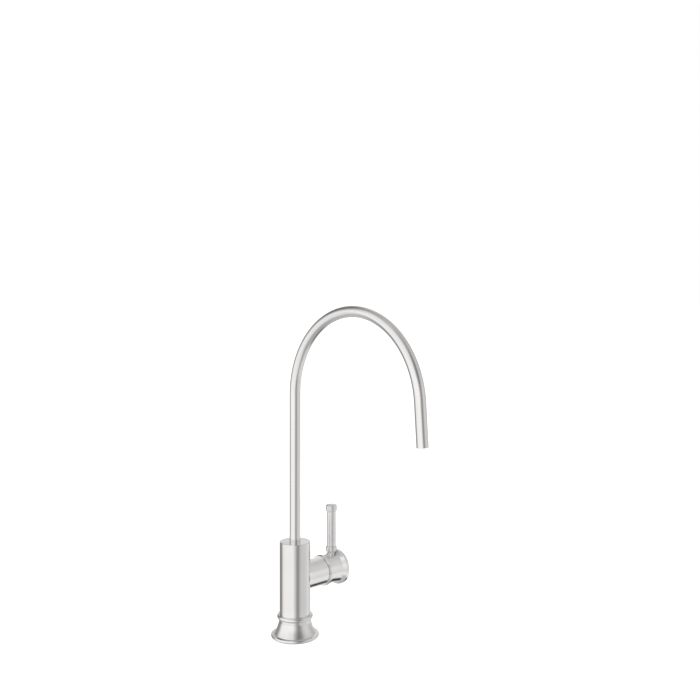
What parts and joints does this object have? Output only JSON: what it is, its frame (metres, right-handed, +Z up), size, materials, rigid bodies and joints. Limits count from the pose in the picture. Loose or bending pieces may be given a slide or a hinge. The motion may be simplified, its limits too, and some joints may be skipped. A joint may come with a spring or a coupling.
{
  "type": "water filter faucet",
  "caption": "Gooseneck drinking-water faucet with a turning spout, a side lever valve, a flared base and a threaded mounting shank.",
  "frame": {"origin": "on the deck plane, under the base, on the axis of the body and spout", "axes": "+Z up, -Y toward the user along the spout, +X along the valve arm with the lever"},
  "size_m": [0.0924, 0.2239, 0.4221],
  "materials": {
    "body_metal": "satin, brushed around the axis",
    "base_metal": "satin, turned",
    "spout_metal": "satin, brushed around the tube",
    "arm_metal": "satin, turned",
    "hub_metal": "satin, turned",
    "lever_metal": "satin, turned",
    "shank_brass": "machined, plain",
    "nut_brass": "machined, plain",
    "cartridge_brass": "machined, plain",
    "stem_brass": "machined, plain",
    "washer_steel": "zinc plated, dull",
    "screw_steel": "plain stainless",
    "rubber": "black, matt",
    "ceramic": "white alumina ceramic, lapped",
    "insert_plastic": "dark grey, matt"
  },
  "bodies": {
    "base": {"body_column": "body_metal", "base_flange": "base_metal", "base_seal": "rubber", "mounting_shank": "shank_brass", "deck_washer_rubber": "rubber", "deck_washer_steel": "washer_steel", "lock_nut": "nut_brass", "valve_arm": "arm_metal", "arm_seal": "rubber", "cartridge_body": "cartridge_brass", "cartridge_nut": "cartridge_brass", "disc_seal": "rubber", "fixed_disc": "ceramic", "spout_retaining_screw": "screw_steel"},
    "spout": {"spout_tube": "spout_metal", "spout_spigot": "cartridge_brass", "spout_o_ring_lower": "rubber", "spout_o_ring_upper": "rubber", "stream_straightener": "insert_plastic"},
    "lever": {"handle_hub": "hub_metal", "hub_end_cap": "hub_metal", "hub_screw": "screw_steel", "lever_neck": "lever_metal", "lever_shaft": "lever_metal", "lever_core": "screw_steel", "lever_finial": "lever_metal", "cartridge_stem": "stem_brass", "stem_o_ring": "rubber", "stem_clip": "screw_steel", "moving_disc": "ceramic"}
  },
  "joints": [
    {"name": "spout_swivel", "type": "hinge", "parent": "base", "child": "spout", "pos_m": [0, 0, 0.0822], "axis": [0, 0, 1], "continuous": true},
    {"name": "lever_turn", "type": "hinge", "parent": "base", "child": "lever", "pos_m": [0.0515, 0, 0.065], "axis": [1, 0, 0], "range_deg": [0, 90]}
  ]
}
